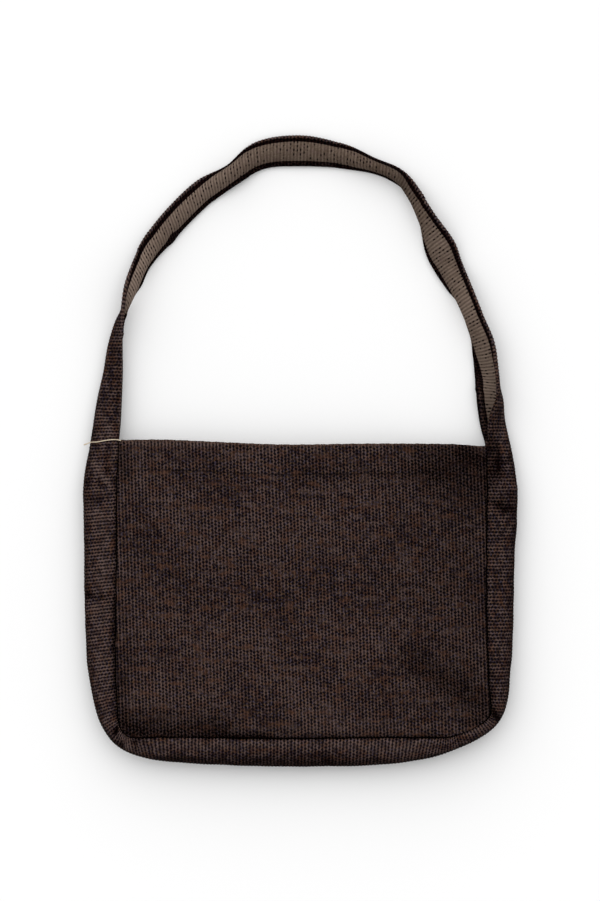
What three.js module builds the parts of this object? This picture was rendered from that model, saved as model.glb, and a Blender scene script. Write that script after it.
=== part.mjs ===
// A soft book bag of coarse woven cloth, lying on its back with its shoulder strap laid out in an arch.
// Millimetres, +Z up. X runs across the bag and +Y from its bottom seam towards the strap.
// The origin is on the ground, under the middle of the bag and strap together.
import * as THREE from "three";

// Cloth and seams
const cloth = 1.8;
const seamGap = 0.3;
const frontSeamDip = 3;
const backSeamDip = 1.2;
const seamRoll = 7;
const panelHem = 30;
const backMouthSetback = 2;

// Thickness of the bag as it lies, from its mouth to its bottom
const mouthThickness = 21;
const middleThickness = 29;
const bottomThickness = 34;
const mouthY = 8;
const middleStartY = -70;
const middleEndY = -150;
const bottomY = -265;
const panelDome = 2.5;

// Strap: angle round its section that each turned-in hem covers, and its height over the ground
const hemAngle = THREE.MathUtils.degToRad(45);
const hemStep = THREE.MathUtils.degToRad(2);
const strapRest = 0.3;
const footLength = 0.6;

// Depth over half width of a strap section: from here it bows as an ellipse, and below that as a parabola
const deepSection = 1.8;
const flatSection = 1;

// Plan of the gusset, a row for each section: where its front seam is and how far out it reaches
const gussetSections = [
  { place: "left mouth", seamX: -166.5, seamY: 9, outerX: -193.8, outerY: 9 },
  { place: "left hem end", seamX: -168, seamY: -17, outerX: -198.6, outerY: -17 },
  { place: "left upper", seamX: -168.5, seamY: -50, outerX: -200, outerY: -50 },
  { place: "left middle", seamX: -168.5, seamY: -105, outerX: -199, outerY: -105 },
  { place: "left lower", seamX: -169.5, seamY: -165, outerX: -198, outerY: -165 },
  { place: "left low", seamX: -169, seamY: -207, outerX: -194.5, outerY: -207 },
  { place: "left above corner", seamX: -167.5, seamY: -236, outerX: -188, outerY: -239 },
  { place: "left corner side", seamX: -166, seamY: -249.5, outerX: -180, outerY: -258 },
  { place: "left corner", seamX: -162, seamY: -258.5, outerX: -168, outerY: -272 },
  { place: "left corner bottom", seamX: -152, seamY: -262.8, outerX: -147, outerY: -281.5 },
  { place: "bottom left", seamX: -110, seamY: -262.4, outerX: -110, outerY: -287 },
  { place: "bottom middle", seamX: -20, seamY: -263.9, outerX: -20, outerY: -290.5 },
  { place: "bottom right", seamX: 75, seamY: -262.8, outerX: 73, outerY: -289 },
  { place: "right corner bottom", seamX: 124, seamY: -263, outerX: 120, outerY: -282 },
  { place: "right corner start", seamX: 144, seamY: -260.5, outerX: 148, outerY: -272.5 },
  { place: "right corner", seamX: 166, seamY: -250, outerX: 173, outerY: -259 },
  { place: "right corner side", seamX: 174, seamY: -240, outerX: 186, outerY: -242.5 },
  { place: "right low", seamX: 173, seamY: -218, outerX: 192, outerY: -218 },
  { place: "right lower", seamX: 171, seamY: -170, outerX: 195.5, outerY: -170 },
  { place: "right middle", seamX: 170.5, seamY: -105, outerX: 197, outerY: -105 },
  { place: "right upper", seamX: 171, seamY: -52, outerX: 200, outerY: -52 },
  { place: "right hem end", seamX: 171.5, seamY: -22, outerX: 198.5, outerY: -22 },
  { place: "right mouth", seamX: 172, seamY: 4, outerX: 193.5, outerY: 4 },
];

// Strap, a row for each section. x and y place the middle of its two edges in plan, half is half the
// distance between the edges, roll turns the front edge up (degrees), and rise is how far the middle of
// the strip stands off towards its inner face (negative where it is folded with the outer face outside).
const strapSections = [
  { place: "right foot", x: 168.9, y: 28, half: 11.3, rise: -21, roll: 65 },
  { place: "right opening", x: 171.4, y: 50, half: 14.2, rise: -18.5, roll: 42 },
  { place: "right open", x: 171.7, y: 72, half: 14.3, rise: -5, roll: 38 },
  { place: "right limb", x: 169.8, y: 96.5, half: 12.3, rise: 3.5, roll: 40 },
  { place: "right limb crown", x: 161, y: 121, half: 9.6, rise: 6.5, roll: 38 },
  { place: "right limb upper", x: 150.8, y: 145.2, half: 10, rise: 7.5, roll: 36 },
  { place: "right flat", x: 136.4, y: 170.5, half: 11.2, rise: 7.5, roll: 8 },
  { place: "right flat upper", x: 128.9, y: 188, half: 12.5, rise: 8, roll: 15 },
  { place: "right shoulder side", x: 117.1, y: 214.5, half: 8.9, rise: 7, roll: 42 },
  { place: "right shoulder", x: 104.4, y: 239.9, half: 4.5, rise: 8, roll: 45 },
  { place: "right pinch", x: 88.5, y: 254.1, half: 3.4, rise: 12, roll: 10 },
  { place: "right pinch end", x: 66, y: 263.2, half: 3.7, rise: 12, roll: 6 },
  { place: "top right", x: 36, y: 271.8, half: 8.6, rise: 9, roll: 0 },
  { place: "top", x: -0.5, y: 276.3, half: 12.2, rise: 7.2, roll: 0 },
  { place: "top left", x: -36.5, y: 272.2, half: 10.7, rise: 8, roll: 0 },
  { place: "left bend", x: -63, y: 253.4, half: 7, rise: 10.5, roll: -15 },
  { place: "left shoulder", x: -88, y: 239.4, half: 9.4, rise: 8.6, roll: 0 },
  { place: "left shoulder side", x: -110.5, y: 218.7, half: 9.6, rise: 8.4, roll: 2 },
  { place: "left limb upper", x: -131.2, y: 195.7, half: 8.9, rise: 8.5, roll: 12 },
  { place: "left limb", x: -146.8, y: 174.3, half: 7.1, rise: 7.5, roll: 30 },
  { place: "left above twist", x: -156.6, y: 151.8, half: 10.6, rise: 3.5, roll: 56 },
  { place: "left twist", x: -161.8, y: 133, half: 12, rise: -0.5, roll: 75 },
  { place: "left below twist", x: -163.9, y: 119, half: 11.5, rise: -6.5, roll: 89 },
  { place: "left fold top", x: -163.9, y: 97, half: 8.5, rise: -13.5, roll: 90 },
  { place: "left fold", x: -163.7, y: 72, half: 8.2, rise: -18, roll: 90 },
  { place: "left foot", x: -164.7, y: 43, half: 8.6, rise: -23.5, roll: 90 },
];

// Dents and soft ridges of the front panel, each a valley along a line (a negative depth is a ridge)
const panelFolds = [
  { place: "dip over bottom seam", fromX: -158, fromY: -252, toX: -50, toY: -256, width: 12, depth: 4.5 },
  { place: "dent to right corner", fromX: 92, fromY: -186, toX: 176, toY: -238, width: 14, depth: 4 },
  { place: "hollow by right mouth", fromX: 112, fromY: -8, toX: 168, toY: -38, width: 26, depth: 4.5 },
  { place: "soft ridge to bottom", fromX: -120, fromY: -170, toX: -22, toY: -246, width: 24, depth: -2.5 },
];

// Creases across the gusset at its sides
const gussetCreases = [
  { place: "left under hem", side: -1, y: -46, width: 6, depth: 1.6 },
  { place: "left middle", side: -1, y: -133, width: 5, depth: 1.4 },
  { place: "right under hem", side: 1, y: -52, width: 7, depth: 1.6 },
];

// Stations of the mesh: distances in from each seam corner, counts between them, and section angles
const edgeSteps = [0, 2.5, 7];
const acrossSpans = 15;
const upSpans = 11;
const hemSplit = 1;
const strapStepsPerSection = 3;
const gussetAngles = [0, 5, 14, 30, 50, 70, 90, 110, 130, 150, 166, 175, 180];
const strapMiddleAngles = [75, 105];
const leftCornerRow = 8;
const rightCornerRow = 15;

const smooth = (from, to, value) => THREE.MathUtils.smoothstep((value - from) / (to - from), 0, 1);
const degrees = THREE.MathUtils.degToRad;

// Thickness of the bag over the ground at a distance down from its mouth
function bagThickness(y) {
  const belowMouth = (middleThickness - mouthThickness) * smooth(mouthY, middleStartY, y);
  const towardsBottom = (bottomThickness - middleThickness) * smooth(middleEndY, bottomY, y);
  return mouthThickness + belowMouth + towardsBottom;
}

// Front edge, middle line and back edge of a gusset section
function gussetEdges(row) {
  const thickness = bagThickness(row.seamY);
  return {
    front: new THREE.Vector3(row.seamX, row.seamY, thickness),
    middle: new THREE.Vector3(row.outerX, row.outerY, thickness / 2),
    back: new THREE.Vector3(row.seamX, row.seamY, 0),
  };
}

const seamPoint = (row) => new THREE.Vector2(row.seamX, row.seamY);
const strapPoint = (row) => new THREE.Vector2(row.x, row.y);

// The same three points of a strap section, lifted so that its lowest cloth is on the ground
function strapEdges(row, index) {
  const first = index === 0;
  const last = index === strapSections.length - 1;
  const before = first ? seamPoint(gussetSections.at(-1)) : strapPoint(strapSections[index - 1]);
  const after = last ? seamPoint(gussetSections[0]) : strapPoint(strapSections[index + 1]);
  const along = after.sub(before).normalize();
  const turn = degrees(row.roll);
  const half = new THREE.Vector2(Math.cos(turn), Math.sin(turn)).multiplyScalar(row.half);
  const reach = new THREE.Vector2(-Math.sin(turn), Math.cos(turn)).multiplyScalar(row.rise);
  let lowest = 0;
  for (let angle = 0; angle <= Math.PI; angle += hemStep) {
    const slope = half.clone().multiplyScalar(-Math.sin(angle)).addScaledVector(reach, Math.cos(angle));
    const inward = -slope.x / slope.length();
    const outerUp = half.y * Math.cos(angle) + reach.y * Math.sin(angle);
    lowest = Math.min(lowest, outerUp, outerUp + inward * clothLayers(angle) * cloth);
  }
  const rest = strapRest - lowest;
  const place = (out, up) => new THREE.Vector3(row.x + along.y * out, row.y - along.x * out, rest + up);
  return {
    front: place(half.x, half.y),
    middle: place(reach.x, reach.y),
    back: place(-half.x, -half.y),
  };
}

// Two layers of cloth where a strap edge is turned in, one between
function clothLayers(angle) {
  return Math.min(angle, Math.PI - angle) < hemAngle ? 2 : 1;
}

const sections = [...gussetSections.map(gussetEdges), ...strapSections.map(strapEdges)];
const loopTension = 0.5;

// Closed smooth curve through one edge of every section
function loop(edge) {
  const points = sections.map((section) => section[edge]);
  return new THREE.CatmullRomCurve3(points, true, "catmullrom", loopTension);
}

const frontEdge = loop("front");
const middleLine = loop("middle");
const backEdge = loop("back");
const lastGussetRow = gussetSections.length - 1;

// How far a row number lies inside the gusset (1) or past the foot of the strap (0)
function sewnShare(row) {
  const past = Math.max(0, Math.min(row - lastGussetRow, sections.length - row));
  return 1 - smooth(0, footLength, past);
}

// Outer face of the strip: a bow from the front edge round the middle line to the back edge, half an ellipse
// where it is deep and a parabola where the strap lies nearly flat, with both edges drawn in at the seams
function stripPoint(row, angle) {
  const share = row / sections.length;
  const front = frontEdge.getPoint(share);
  const back = backEdge.getPoint(share);
  const centre = front.clone().add(back).multiplyScalar(0.5);
  const half = front.clone().sub(centre);
  const reach = middleLine.getPoint(share).sub(centre);
  const flat = smooth(deepSection, flatSection, reach.length() / half.length()) * (1 - sewnShare(row));
  const bow = THREE.MathUtils.lerp(Math.sin(angle), Math.sin(angle) ** 2, flat);
  const fromSeam = reach.length() * Math.sin(angle);
  const seamDip = Math.cos(angle) > 0 ? frontSeamDip : backSeamDip;
  const dip = seamDip * sewnShare(row) * Math.max(0, 1 - fromSeam / seamRoll) ** 2;
  const point = centre.addScaledVector(half, Math.cos(angle)).addScaledVector(reach, bow);
  return point.addScaledVector(half.normalize(), -Math.sign(Math.cos(angle)) * dip);
}

// Unit direction from the outer face of the strip to its inner face
function stripInward(row, angle) {
  const small = 1e-3;
  const inner = THREE.MathUtils.clamp(angle, small, Math.PI - small);
  const along = stripPoint(row + small, inner).sub(stripPoint(row - small, inner));
  const round = stripPoint(row, inner + small).sub(stripPoint(row, inner - small));
  return along.cross(round).normalize();
}

function creaseDepth(point) {
  let depth = 0;
  for (const crease of gussetCreases) {
    if (Math.sign(point.x) === crease.side) {
      depth += crease.depth * Math.exp(-(((point.y - crease.y) / crease.width) ** 2));
    }
  }
  return depth;
}

// Closed wall between two grids of points, with rims along its four edges
function wallGeometry(outer, inner) {
  const rows = outer.length;
  const columns = outer[0].length;
  const count = rows * columns;
  const corners = [];
  const quad = (a, b, c, d) => corners.push(a, b, c, a, c, d);
  const at = (i, j) => i * columns + j;
  for (let i = 0; i < rows - 1; i += 1) {
    for (let j = 0; j < columns - 1; j += 1) {
      quad(at(i, j), at(i, j + 1), at(i + 1, j + 1), at(i + 1, j));
      quad(count + at(i, j), count + at(i + 1, j), count + at(i + 1, j + 1), count + at(i, j + 1));
    }
  }
  const rim = (a, b) => quad(a, b, count + b, count + a);
  for (let i = 0; i < rows - 1; i += 1) {
    rim(at(i, 0), at(i + 1, 0));
    rim(at(i + 1, columns - 1), at(i, columns - 1));
  }
  for (let j = 0; j < columns - 1; j += 1) {
    rim(at(0, j + 1), at(0, j));
    rim(at(rows - 1, j), at(rows - 1, j + 1));
  }
  const geometry = new THREE.BufferGeometry();
  const points = [...outer.flat(), ...inner.flat()];
  geometry.setAttribute("position", new THREE.Float32BufferAttribute(points.flatMap((p) => p.toArray()), 3));
  geometry.setIndex(corners);
  geometry.computeVertexNormals();
  return geometry;
}

// Row numbers at given distances along the front seam between two sections
function seamRows(firstRow, lastRow, distances) {
  const steps = 400;
  const rowAt = (step) => firstRow + (lastRow - firstRow) * step / steps;
  const lengths = [0];
  for (let step = 1; step <= steps; step += 1) {
    const here = frontEdge.getPoint(rowAt(step) / sections.length);
    const before = frontEdge.getPoint(rowAt(step - 1) / sections.length);
    lengths.push(lengths[step - 1] + here.distanceTo(before));
  }
  const total = lengths[steps];
  return distances(total).map((distance) => {
    const next = Math.max(1, lengths.findIndex((length) => length >= distance - 1e-6));
    const part = (distance - lengths[next - 1]) / (lengths[next] - lengths[next - 1]);
    return rowAt(next - 1 + part);
  });
}

function spread(from, to, spans) {
  return Array.from({ length: spans + 1 }, (_, i) => from + (to - from) * i / spans);
}

// Distances across the panel, close together by both seams
function acrossDistances(total) {
  const inner = edgeSteps.at(-1);
  const near = edgeSteps.slice(0, -1);
  const far = near.map((step) => total - step).reverse();
  return [...near, ...spread(inner, total - inner, acrossSpans), ...far];
}

// Distances up the panel from its bottom corner to its mouth, with a step where the hem ends
function upDistances(total) {
  const inner = edgeSteps.at(-1);
  const near = edgeSteps.slice(0, -1);
  const hemEnd = total - panelHem;
  const hem = [hemEnd + hemSplit, total - panelHem / 2, total];
  return [...near, ...spread(inner, hemEnd, upSpans), ...hem];
}

const leftRows = seamRows(leftCornerRow, 0, upDistances);
const rightRows = seamRows(rightCornerRow, lastGussetRow, upDistances);
const bottomRows = seamRows(leftCornerRow, rightCornerRow, acrossDistances);
const gussetRows = [...leftRows.slice(1).reverse(), ...bottomRows, ...rightRows.slice(1)];
const seamPlan = gussetRows.map((row) => frontEdge.getPoint(row / sections.length).setZ(0));

function distanceToSeam(point) {
  const flat = point.clone().setZ(0);
  const nearest = new THREE.Vector3();
  let least = Infinity;
  for (let i = 0; i < seamPlan.length - 1; i += 1) {
    new THREE.Line3(seamPlan[i], seamPlan[i + 1]).closestPointToPoint(flat, true, nearest);
    least = Math.min(least, nearest.distanceTo(flat));
  }
  return least;
}

// Plan of a point on a seam, moved in from the gusset by the seam gap
function panelEdge(seam, row) {
  const share = (value) => seam.getPoint(value / sections.length).setZ(0);
  const along = share(row + 1e-3).sub(share(row - 1e-3)).normalize();
  return share(row).add(new THREE.Vector3(-along.y, along.x, 0).multiplyScalar(seamGap));
}

// Grid of plan points blended from the panel's four edges: rows up the panel, columns across it
function panelPlan(seam, mouthSetback) {
  const edge = (row) => panelEdge(seam, row);
  const left = leftRows.map(edge);
  const right = rightRows.map(edge);
  const bottom = bottomRows.map(edge);
  const top = spread(0, 1, bottom.length - 1).map((_, j) => {
    const share = (bottom[j].x - bottom[0].x) / (bottom.at(-1).x - bottom[0].x);
    return left.at(-1).clone().lerp(right.at(-1), share);
  });
  return left.map((_, i) => bottom.map((_, j) => {
    const across = (bottom[j].x - bottom[0].x) / (bottom.at(-1).x - bottom[0].x);
    const up = (left[i].y - left[0].y) / (left.at(-1).y - left[0].y);
    const point = left[i].clone().lerp(right[i], across).add(bottom[j].clone().lerp(top[j], up));
    const low = bottom[0].clone().lerp(bottom.at(-1), across);
    const high = top[0].clone().lerp(top.at(-1), across);
    point.sub(low.lerp(high, up));
    point.y -= mouthSetback * smooth(0.5, 1, up) * Math.min(1, distanceToSeam(point) / seamRoll);
    return point;
  }));
}

function foldDepth(point) {
  let depth = 0;
  for (const fold of panelFolds) {
    const line = new THREE.Line3(
      new THREE.Vector3(fold.fromX, fold.fromY, 0),
      new THREE.Vector3(fold.toX, fold.toY, 0),
    );
    const away = line.closestPointToPoint(point, true, new THREE.Vector3()).distanceTo(point);
    depth += fold.depth * Math.exp(-((away / fold.width) ** 2));
  }
  return depth;
}

const seamFade = (point) => Math.max(0, 1 - distanceToSeam(point) / seamRoll) ** 2;
const hemRows = 3;
const panelLayers = (i, rows) => (i >= rows - hemRows ? 2 : 1);

function frontPanel() {
  const outer = panelPlan(frontEdge, 0).map((line) => line.map((point) => {
    const fromSeam = distanceToSeam(point);
    const loose = smooth(0, seamRoll * 3, fromSeam);
    const shape = panelDome * smooth(0, seamRoll * 12, fromSeam) - foldDepth(point) * loose;
    return point.setZ(bagThickness(point.y) + shape - frontSeamDip * seamFade(point));
  }));
  const inner = outer.map((line, i) => line.map((point) => {
    const thickness = cloth * panelLayers(i, outer.length);
    return point.clone().setZ(point.z - thickness);
  }));
  return wallGeometry(outer, inner);
}

function backPanel() {
  const plan = panelPlan(backEdge, backMouthSetback);
  const turned = plan[0].map((_, j) => plan.map((line) => line[j]));
  const outer = turned.map((line) => line.map((point) => point.setZ(backSeamDip * seamFade(point))));
  const inner = outer.map((line) => line.map((point, i) => {
    const thickness = cloth * panelLayers(i, line.length);
    return point.clone().setZ(point.z + thickness);
  }));
  return wallGeometry(outer, inner);
}

function gusset() {
  const angles = gussetAngles.map(degrees);
  const outer = gussetRows.map((row) => angles.map((angle) => {
    const point = stripPoint(row, angle);
    return point.addScaledVector(stripInward(row, angle), creaseDepth(point) * Math.sin(angle));
  }));
  const inner = gussetRows.map((row, i) => angles.map((angle, j) => (
    outer[i][j].clone().addScaledVector(stripInward(row, angle), cloth)
  )));
  return wallGeometry(outer, inner);
}

// The strap starts a seam gap above the gusset's two ends
function strapRows() {
  const rows = [];
  const count = (sections.length - lastGussetRow) * strapStepsPerSection;
  for (let step = 0; step <= count; step += 1) {
    rows.push(lastGussetRow + step / strapStepsPerSection);
  }
  const first = frontEdge.getPoint(lastGussetRow / sections.length);
  const next = frontEdge.getPoint((lastGussetRow + 1) / sections.length);
  rows[0] += seamGap / first.distanceTo(next);
  rows[count] -= seamGap / first.distanceTo(next);
  return rows;
}

function strap() {
  const frontHem = [0, hemAngle / 2, hemAngle - hemStep / 2, hemAngle + hemStep / 2];
  const backHem = frontHem.map((angle) => Math.PI - angle).reverse();
  const angles = [...frontHem, ...strapMiddleAngles.map(degrees), ...backHem];
  const rows = strapRows();
  const outer = rows.map((row) => angles.map((angle) => stripPoint(row, angle)));
  const inner = rows.map((row, i) => angles.map((angle, j) => {
    const layers = THREE.MathUtils.lerp(clothLayers(angle), 1, sewnShare(row));
    return outer[i][j].clone().addScaledVector(stripInward(row, angle), cloth * layers);
  }));
  rows.forEach((_, i) => {
    const lowest = Math.min(...[...outer[i], ...inner[i]].map((point) => point.z));
    const lift = Math.max(0, strapRest - lowest);
    [...outer[i], ...inner[i]].forEach((point) => point.setZ(point.z + lift));
  });
  return wallGeometry(outer, inner);
}

const brownCloth = { color: 0x2f2422, roughness: 0.95, metalness: 0 };
const paleReverse = { color: 0x52453c, roughness: 0.95, metalness: 0 };

function namedMesh(name, geometry, look) {
  const mesh = new THREE.Mesh(geometry, new THREE.MeshStandardMaterial(look));
  mesh.name = name;
  return mesh;
}

const bag = new THREE.Group();
bag.add(namedMesh("front_panel", frontPanel(), brownCloth));
bag.add(namedMesh("back_panel", backPanel(), brownCloth));
bag.add(namedMesh("gusset", gusset(), brownCloth));
bag.add(namedMesh("strap", strap(), paleReverse));

export default bag;
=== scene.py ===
"""A soft book bag of coarse woven cloth, lying on its back with its shoulder strap laid out in an arch.

Shapes are worked out in millimetres in the part's own frame (X across the bag, +Y from the bottom seam
to the strap, +Z up from the ground) and go into the meshes in metres.
"""
import math

import bpy
import numpy as np
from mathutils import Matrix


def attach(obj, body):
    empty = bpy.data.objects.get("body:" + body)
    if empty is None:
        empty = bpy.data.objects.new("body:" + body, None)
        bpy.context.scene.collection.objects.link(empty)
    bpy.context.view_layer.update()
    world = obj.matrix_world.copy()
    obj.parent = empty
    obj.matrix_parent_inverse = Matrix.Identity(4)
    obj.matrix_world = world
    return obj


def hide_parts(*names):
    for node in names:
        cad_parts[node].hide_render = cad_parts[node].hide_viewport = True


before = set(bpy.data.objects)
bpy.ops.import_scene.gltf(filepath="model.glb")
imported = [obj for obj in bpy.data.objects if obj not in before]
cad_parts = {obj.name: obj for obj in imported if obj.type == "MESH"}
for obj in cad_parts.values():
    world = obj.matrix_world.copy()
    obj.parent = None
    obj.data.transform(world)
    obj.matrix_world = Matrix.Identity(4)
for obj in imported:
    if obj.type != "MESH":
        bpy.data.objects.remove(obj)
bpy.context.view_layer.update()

# Metres in a millimetre, then the pitch of the ribs and the thickness of the cloth
METRE = 0.001
RIB = 3.14
CLOTH = 1.8

# Camera: straight above, as far off as a long lens needs to see 552 by 828 mm of ground
LENS = 200.0
SENSOR = 36.0
VIEW_HEIGHT = 828.5
FOCUS_LEVEL = 15.0
CAMERA_X = -0.4
CLIP_END = 50.0


def place_camera():
    """Camera over the ground's middle, looking straight down with +Y up in the picture."""
    lens = bpy.data.cameras.new("camera")
    lens.lens = LENS
    lens.sensor_width = SENSOR
    lens.clip_end = CLIP_END
    camera = bpy.data.objects.new("camera", lens)
    bpy.context.collection.objects.link(camera)
    height = FOCUS_LEVEL + VIEW_HEIGHT * LENS / SENSOR
    camera.location = (CAMERA_X * METRE, 0.0, height * METRE)
    bpy.context.scene.camera = camera


place_camera()

# Thickness of the bag at its mouth, middle and bottom, and the y between which one goes over to the next
MOUTH_THICKNESS = 21.0
MIDDLE_THICKNESS = 29.0
BOTTOM_THICKNESS = 34.0
BELOW_MOUTH = (8, -70)
TOWARDS_BOTTOM = (-150, -265)
# Where the sides turn into the bottom, in y: for the seam, for the strip and for the panel's roll
SEAM_TURN = (-245, -258)
STRIP_TURN = (-235, -262)
ROLL_TURN = (-235, -255)
# Where the strip is at the bag's sides, in x, and its left side's ends in x and y
SIDE_X = 150
LEFT_SIDE_X = (-120, -160)
LEFT_SIDE_Y = (-258, -240)
# Seams: how deep they are drawn in, and how far from them the cloth rolls over
FRONT_SEAM_DIP = 3.0
BACK_SEAM_DIP = 1.2
SEAM_ROLL = 7.0
STRIP_ROLL = 5.0
LEFT_STRIP_ROLL = 10.0
PANEL_SIDE_ROLL = 4.0
PANEL_BOTTOM_ROLL = 10.0
# Unevenness of the front seam: waves of height, length and phase, and their shares at side and bottom
SEAM_WAVES = [(0.5, 31, 0), (0.35, 17, 1)]
SIDE_UNEVEN = 0.5
BOTTOM_UNEVEN = 0.3
# Seam allowance turned in: its layers of cloth, and how wide it is on the strip and on the panels
SEAM_LAYERS = 2.2
STRIP_ALLOWANCE = 4.5
PANEL_ALLOWANCE = 3
# Panels: gap to the strip in front, lap under it at the back, how much lower the back mouth lies and
# the x of its right end, width of the mouth hem, lean of the ribs in degrees, dome, and height and
# length of waves
SEAM_GAP = 0.3
BACK_SEAM_LAP = 0.8
BACK_SETBACK = 2.0
BACK_MOUTH_X = 169.5
PANEL_HEM = 26.2
PANEL_LEAN = 2.0
PANEL_DOME = 2.5
PANEL_WAVE = 0.5
PANEL_WAVE_LENGTH = 70
# Strip: waves of the gusset, painted shade of its creases, height of the ribs
GUSSET_WAVE = 0.45
GUSSET_WAVE_LENGTH = 38
CREASE_DARK = 0.22
RIB_CREST = 0.07
# Strap: least height over the ground, depth to width at which a section is deep or flat, length of its
# feet in sections, and the part of a section's angle near its edges where the cloth is doubled
STRAP_REST = 0.3
DEEP_SECTION = 1.8
FLAT_SECTION = 1.0
FOOT_LENGTH = 0.6
HEMMED_ANGLE = math.radians(45)
# Sections where the front seam turns the bottom corners
LEFT_CORNER_ROW = 8
RIGHT_CORNER_ROW = 15

# Plan of the gusset from the left mouth to the right: front seam x, y and outermost x, y of each section
GUSSET = np.array([
    (-166.5, 9, -193.8, 9), (-168, -17, -198.6, -17), (-168.5, -50, -200, -50),
    (-168.5, -105, -199, -105), (-169.5, -165, -198, -165), (-169, -207, -194.5, -207),
    (-167.5, -236, -188, -239), (-166, -249.5, -180, -258), (-162, -258.5, -168, -272),
    (-152, -262.8, -147, -281.5), (-110, -262.4, -110, -287), (-20, -263.9, -20, -290.5),
    (75, -262.8, 73, -289), (124, -263, 120, -282), (144, -260.5, 148, -272.5),
    (166, -250, 173, -259), (174, -240, 186, -242.5), (173, -218, 192, -218),
    (171, -170, 195.5, -170), (170.5, -105, 197, -105), (171, -52, 200, -52),
    (171.5, -22, 198.5, -22), (172, 4, 193.5, 4),
])

# Strap from the right mouth over the top to the left mouth: plan x, y of its middle, half its width from
# edge to edge, how far its middle stands off towards the inner face, the roll in degrees that turns the
# front edge up, how much of the inner face the front and the back hem cover, and how far the ribs slant
STRAP = np.array([
    (168.9, 28, 11.3, -21, 65, 5, 8, 0.03), (171.4, 50, 14.2, -18.5, 42, 5, 8, 0.03),
    (171.7, 72, 14.3, -5, 38, 5, 6.5, 0.03), (169.8, 96.5, 12.3, 3.5, 40, 5, 2.6, 0.05),
    (161, 121, 9.6, 6.5, 38, 5, 1.9, 0.12), (150.8, 145.2, 10, 7.5, 36, 5.3, 1.9, 0.18),
    (136.4, 170.5, 11.2, 7.5, 8, 6, 4.5, 0.1), (128.9, 188, 12.5, 8, 15, 6.5, 3, 0.2),
    (117.1, 214.5, 8.9, 7, 42, 5.7, 1.9, 0.3), (104.4, 239.9, 4.5, 8, 45, 7.2, 1.9, 0.3),
    (88.5, 254.1, 3.4, 12, 10, 7.5, 4, 0.35), (66, 263.2, 3.7, 12, 6, 7, 5.5, 0.27),
    (36, 271.8, 8.6, 9, 0, 7, 5.5, 0.14), (-0.5, 276.3, 12.2, 7.2, 0, 7, 5.5, -0.03),
    (-36.5, 272.2, 10.7, 8, 0, 6.5, 5.5, -0.3), (-63, 253.4, 7, 10.5, -15, 3.5, 5.5, -0.45),
    (-88, 239.4, 9.4, 8.6, 0, 8.5, 5, -0.42), (-110.5, 218.7, 9.6, 8.4, 2, 8.5, 4.5, -0.5),
    (-131.2, 195.7, 8.9, 8.5, 12, 8, 5.6, -0.57), (-146.8, 174.3, 7.1, 7.5, 30, 6, 4, -0.6),
    (-156.6, 151.8, 10.6, 3.5, 56, 5, 1.9, -0.55), (-161.8, 133, 12, -0.5, 75, 5, 1.9, -0.3),
    (-163.9, 119, 11.5, -6.5, 89, 5, 4, 0), (-163.9, 97, 8.5, -13.5, 90, 5, 6, 0),
    (-163.7, 72, 8.2, -18, 90, 5, 6, 0), (-164.7, 43, 8.6, -23.5, 90, 5, 6, 0),
])
LAST_GUSSET_ROW = len(GUSSET) - 1
ROWS = len(GUSSET) + len(STRAP)

# Creases of the gusset: from x, y to x, y, width, depth (a negative depth is a raised fold)
GUSSET_CREASES = [
    (-192, -46, -174, -48, 4, 2.2), (-197, -132.5, -176, -136.5, 3, 2.6),
    (174, -47, 193, -55, 4.5, 2.2), (-189, -12, -173.5, -36, 4, -2.2),
    (-200, -60, -174, -60, 6, -1.4), (-186, -26, -179, -33, 3.5, 2.5),
    (-177, -18, -172, -25, 3, 2.5), (-180, -104, -176, -122, 5, -1.4),
    (-183, 34, -172, 14, 4, -1.6), (-196, -146, -176, -142, 5, -1.2),
    (-165.5, -250.5, -170.5, -259, 1.8, 3.0), (-170.5, -260, -163, -270, 2, 2.4),
    (-156, -264, -151, -273, 2, 2.4), (-164, -261, -158, -271, 3.5, -1.4),
    (175, -238, 181, -246, 2.5, 2.6), (180, -30, 199, -34, 4, -1.2),
    (142, -264, 149, -271, 2.5, 0.7), (178, -12, 198, -6, 4, 1.4), (-120, -268, -112, -284, 5, 1.2),
    (-62, -268, -58, -286, 5, -0.8), (20, -268, 26, -286, 5, 1.0), (98, -268, 92, -284, 5, -0.9),
]
# Corners where the front seam is slack: x, y, size, and how much shallower it is
SLACK_CORNERS = [(-163, -260, 13, 0.7), (156, -257, 20, 0.85), (-105, -263, 45, 0.4)]
# Valleys of the front panel, written as the creases are
PANEL_FOLDS = [
    (-158, -252, -72, -256, 12, 4.5), (98, -188, 176, -237, 10, 5.0), (112, -8, 168, -38, 26, 4.5),
    (-120, -170, -22, -246, 24, -2.5), (104, -216, 160, -247, 12, -2.2),
]


def smooth(start, end, value):
    """Rises from 0 at start to 1 at end along 3s^2 - 2s^3."""
    share = np.clip((value - start) / (end - start), 0, 1)
    return share * share * (3 - 2 * share)


def bump(value, middle, width):
    """exp(-((value - middle) / width)^2): 1 at the middle, falling off to both sides."""
    return np.exp(-(((value - middle) / width) ** 2))


def unit(vectors):
    """The vectors, each divided by its length."""
    return vectors / np.linalg.norm(vectors, axis=-1, keepdims=True)


def bag_thickness(y):
    """Height of the front seam: thin at the mouth, thicker in the middle and thickest at the bottom."""
    below_mouth = (MIDDLE_THICKNESS - MOUTH_THICKNESS) * smooth(*BELOW_MOUTH, y)
    towards_bottom = (BOTTOM_THICKNESS - MIDDLE_THICKNESS) * smooth(*TOWARDS_BOTTOM, y)
    return MOUTH_THICKNESS + below_mouth + towards_bottom


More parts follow.
